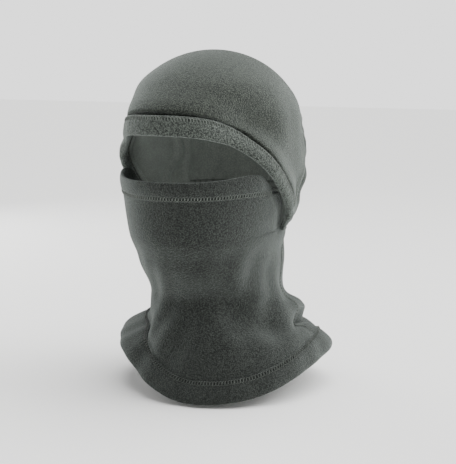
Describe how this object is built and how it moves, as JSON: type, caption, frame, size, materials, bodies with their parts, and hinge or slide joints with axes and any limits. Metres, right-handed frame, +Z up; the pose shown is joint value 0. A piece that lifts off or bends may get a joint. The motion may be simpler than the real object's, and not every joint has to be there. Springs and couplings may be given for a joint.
{
  "type": "hinged fleece balaclava",
  "caption": "Fleece balaclava with a fold-back hood, elastic brow band, eye opening, pull-down face mask and flared neck gaiter with a bib-shaped hem.",
  "frame": {"origin": "middle of the wearer's head, 100 mm below the outside of the crown", "axes": "+Z up to the crown, -Y out of the face opening, +X to the wearer's left"},
  "size_m": [0.2174, 0.2306, 0.3305],
  "materials": {
    "hood_fleece": "matte",
    "band_fleece": "matte",
    "mask_fleece": "matte",
    "neck_fleece": "matte",
    "hem_fleece": "matte",
    "stitching": "matte",
    "elastic": "matte",
    "label": "matte"
  },
  "bodies": {
    "neck_gaiter": {"front_panel": "neck_fleece", "back_panel": "neck_fleece", "bottom_hem": "hem_fleece", "bottom_hem_stitching": "stitching", "side_seam_left": "stitching", "side_seam_right": "stitching", "care_label": "label"},
    "mask": {"mask_panel": "mask_fleece", "nose_hem": "mask_fleece", "nose_hem_stitching": "stitching"},
    "hood": {"hood_panel": "hood_fleece", "brow_band": "band_fleece", "brow_elastic": "elastic", "brow_band_stitching": "stitching", "back_elastic": "elastic", "back_seam_left": "stitching", "back_seam_right": "stitching", "nape_seam_stitching": "stitching", "band_bartacks": "stitching"}
  },
  "joints": [
    {"name": "hood_fold_back", "type": "hinge", "parent": "neck_gaiter", "child": "hood", "pos_m": [0, 0.092, -0.075], "axis": [-1, 0, 0], "range_deg": [0, 80]},
    {"name": "mask_pull_down", "type": "hinge", "parent": "neck_gaiter", "child": "mask", "pos_m": [0, 0.02, -0.085], "axis": [1, 0, 0], "range_deg": [0, 36]}
  ]
}
